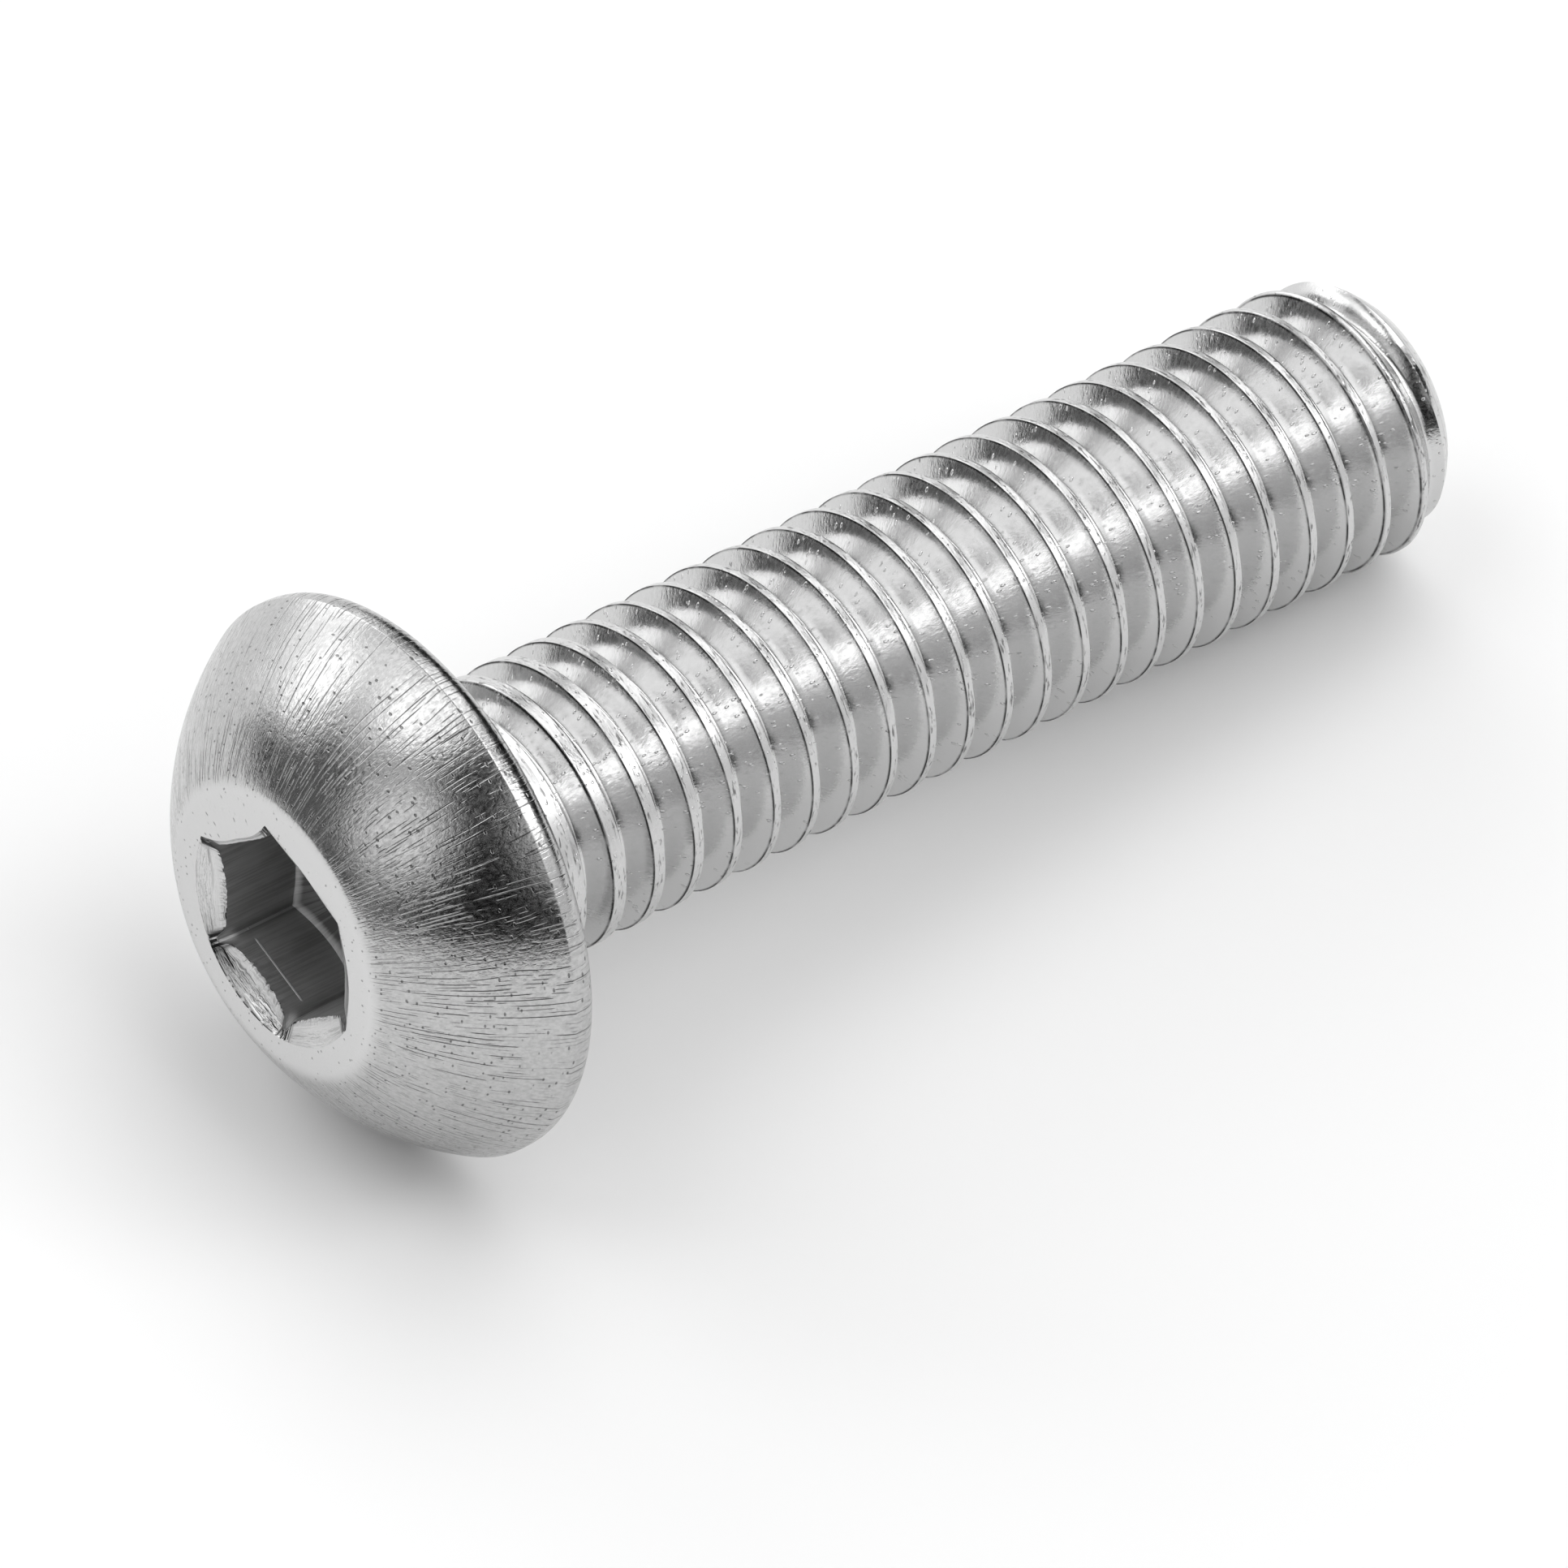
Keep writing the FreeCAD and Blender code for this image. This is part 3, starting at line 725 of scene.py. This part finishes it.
def rolled_steel(finish):
    """Steel rolled between dies: smooth, faintly uneven flanks, folded metal along each crest, a painted dark
    reflection along the head side of each crest, and small specks that were pressed in."""
    material, tree, output = new_material("thread_rolled_stainless_steel")
    vector, _, _, _ = attribute(tree, "around")
    _, depth, side, full = attribute(tree, "relief")
    swell = noise(tree, lay(tree, vector, ON_THREAD, 0.45, 0.3), 2.0, 0.5)
    # the grain is 0.04 mm across, drawn at 0.055 mm so that it still shows
    grain = noise(tree, lay(tree, vector, ON_THREAD, 0.055, 0.055), 2.0, 0.65)
    patch = ramp(tree, noise(tree, lay(tree, vector, ON_THREAD, 0.7, 0.5)), 0.4, 0.65, 0.35, 1.0)
    # specks 0.03 mm across, one to every 0.12 mm where they are thick
    specks = spots(tree, lay(tree, vector, ON_THREAD, 0.12, 0.12), 0.24)
    specks = times(tree, specks, ramp(tree, noise(tree, lay(tree, vector, ON_THREAD, 0.4, 0.4)), 0.42, 0.56))
    crest = ramp(tree, depth, 0.02, 0.2, 1.0, 0.0)
    folds = times(tree, noise(tree, lay(tree, vector, ON_CRESTS, 0.25, 0.05), 2.0, 0.6, 0.3), crest)
    # painted reflection: a dark line, 0.02 mm wide and paler in places, runs along each crest on the side of the head,
    # where its rounded edge mirrors the dark room
    painted_crest_reflection = times(tree, lines(tree, depth, 0.1, 0.065), ramp(tree, side, 0.0, 0.05))
    paler = ramp(tree, noise(tree, lay(tree, vector, ON_CRESTS, 0.5, 0.7), 2.0, 0.6), 0.35, 0.55, 0.5, 1.0)
    painted_crest_reflection = times(tree, times(tree, painted_crest_reflection, paler), full)
    marks = most(tree, painted_crest_reflection, times(tree, ramp(tree, folds, 0.55, 0.7), 0.7))
    marks = times(tree, marks, finish.marks, clamp=True)
    rough = math_node(tree, "ADD", ramp(tree, grain, 0.25, 0.75, 0.16, 0.26), times(tree, crest, 0.1))
    grain = times(tree, grain, patch)
    normal = bumps(tree, finish.marks, ((swell, 0.004), (grain, 0.005), (specks, 0.01), (folds, 0.003)))
    steel(tree, output, finish.steel, DEEP_MARKS_AND_PAINTED_DARK, marks, rough, normal)
    return material


STEELS = (headed_steel, bevel_steel, socket_steel, rolled_steel)


class SCREW_OT_build_screw(bpy.types.Operator):
    """Build the button head screw, with its socket and its rolled thread"""
    bl_idname = "screw.build_screw"
    bl_label = "Build the screw"

    def execute(self, context):
        sizes = context.scene.screw_sizes
        finish = context.scene.screw_finish
        piece = bpy.data.objects.new("button_head_screw_steel", build_mesh(sizes))
        context.scene.collection.objects.link(piece)
        for make in STEELS:
            piece.data.materials.append(make(finish))
        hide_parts("button_head_screw")
        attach(piece, "root")
        return {"FINISHED"}


# ---- the studio ----

def add_camera(scene, studio):
    """The camera, at the photograph's viewing angle and level with the horizon."""
    data = bpy.data.cameras.new("camera")
    data.sensor_width = 36.0
    data.lens = studio.lens
    data.clip_start = 0.01
    data.clip_end = 10.0
    camera = bpy.data.objects.new("camera", data)
    scene.collection.objects.link(camera)
    down, heading = studio.look_down, studio.heading
    forward = Vector((math.cos(down) * math.cos(heading), math.cos(down) * math.sin(heading), -math.sin(down)))
    camera.location = studio.camera_place
    camera.rotation_mode = "QUATERNION"
    camera.rotation_quaternion = forward.to_track_quat("-Z", "Y")
    scene.camera = camera


def add_floor(scene):
    """A plain pale floor that shows white to the camera and keeps the screw's shadow."""
    data = bpy.data.meshes.new("floor")
    reach = 1.5  # metres to each side
    data.from_pydata([(-reach, -reach, 0), (reach, -reach, 0), (reach, reach, 0), (-reach, reach, 0)], [],
                     [(0, 1, 2, 3)])
    floor = bpy.data.objects.new("floor", data)
    scene.collection.objects.link(floor)
    material, tree, output = new_material("white_painted_board")
    shader = node(tree, "ShaderNodeBsdfDiffuse", inputs={"Color": linear("#F7F7F7")})
    tree.links.new(shader.outputs[0], output.inputs[0])
    data.materials.append(material)


# the soft panels hung round the screw, most of them over its head and along its far side: azimuth, height over
# the horizon and half width in degrees, and brightness
PANELS = (
    (150, 65, 20, 2.2), (110, 50, 17, 1.4), (142, 47, 16, 1.0), (116, 26, 18, 2.6), (-175, 32, 25, 1.2),
    (150, 12, 25, 0.12), (-55, 65, 30, 2.3), (32, 58, 30, 2.1), (-43, 38, 13, 3.8), (-90, 42, 34, 0.95),
    (77, 20, 30, 2.6), (-55, 18, 28, 0.9), (106, 5, 14, 1.3),
)


def light_room(scene, studio):
    """A dark room with soft panels, each brightest in its middle and fading out to its edge."""
    world = bpy.data.worlds.new("room")
    scene.world = world
    world.use_nodes = True
    tree = world.node_tree
    tree.nodes.clear()
    output = tree.nodes.new("ShaderNodeOutputWorld")
    direction = tree.nodes.new("ShaderNodeTexCoord").outputs["Generated"]
    total = None
    for azimuth, above, half_width, brightness in PANELS:
        turn, rise = math.radians(azimuth), math.radians(above)
        middle = (math.cos(rise) * math.cos(turn), math.cos(rise) * math.sin(turn), math.sin(rise))
        toward = node(tree, "ShaderNodeVectorMath", operation="DOT_PRODUCT", links={0: direction}, inputs={1: middle})
        panel = ramp(tree, toward.outputs["Value"], math.cos(math.radians(half_width)), 1.0, 0.0, brightness)
        total = panel if total is None else math_node(tree, "ADD", total, panel)
    light = node(tree, "ShaderNodeBackground", inputs={"Strength": studio.sky}, links={"Color": total})
    tree.links.new(light.outputs[0], output.inputs[0])


class SCREW_OT_set_studio(bpy.types.Operator):
    """Set the camera, the soft panels of light and the plain pale floor"""
    bl_idname = "screw.set_studio"
    bl_label = "Set the studio"

    def execute(self, context):
        scene = context.scene
        studio = scene.screw_studio
        add_camera(scene, studio)
        add_floor(scene)
        light_room(scene, studio)
        scene.view_settings.view_transform = "Standard"
        return {"FINISHED"}


class SCREW_PT_panel(bpy.types.Panel):
    """The screw's sizes, its finish and its studio"""
    bl_idname = "SCREW_PT_panel"
    bl_label = "Button head screw"
    bl_space_type = "VIEW_3D"
    bl_region_type = "UI"
    bl_category = "Screw"

    def draw(self, context):
        layout = self.layout
        for group in (context.scene.screw_sizes, context.scene.screw_finish, context.scene.screw_studio):
            box = layout.box()
            for name in group.__annotations__:
                box.prop(group, name)
        for operator in OPERATORS:
            layout.operator(operator.bl_idname)


OPERATORS = (SCREW_OT_build_screw, SCREW_OT_set_studio)
GROUPS = (("screw_sizes", ScrewSizes), ("screw_finish", ScrewFinish), ("screw_studio", StudioSettings))


def register():
    for name, group in GROUPS:
        bpy.utils.register_class(group)
        setattr(bpy.types.Scene, name, bpy.props.PointerProperty(type=group))
    for kind in OPERATORS:
        bpy.utils.register_class(kind)
    bpy.utils.register_class(SCREW_PT_panel)


def unregister():
    bpy.utils.unregister_class(SCREW_PT_panel)
    for kind in reversed(OPERATORS):
        bpy.utils.unregister_class(kind)
    for name, group in reversed(GROUPS):
        delattr(bpy.types.Scene, name)
        bpy.utils.unregister_class(group)


def main():
    """Build the screw and its studio."""
    register()
    bpy.ops.screw.build_screw()
    bpy.ops.screw.set_studio()


if __name__ == "__main__":
    main()
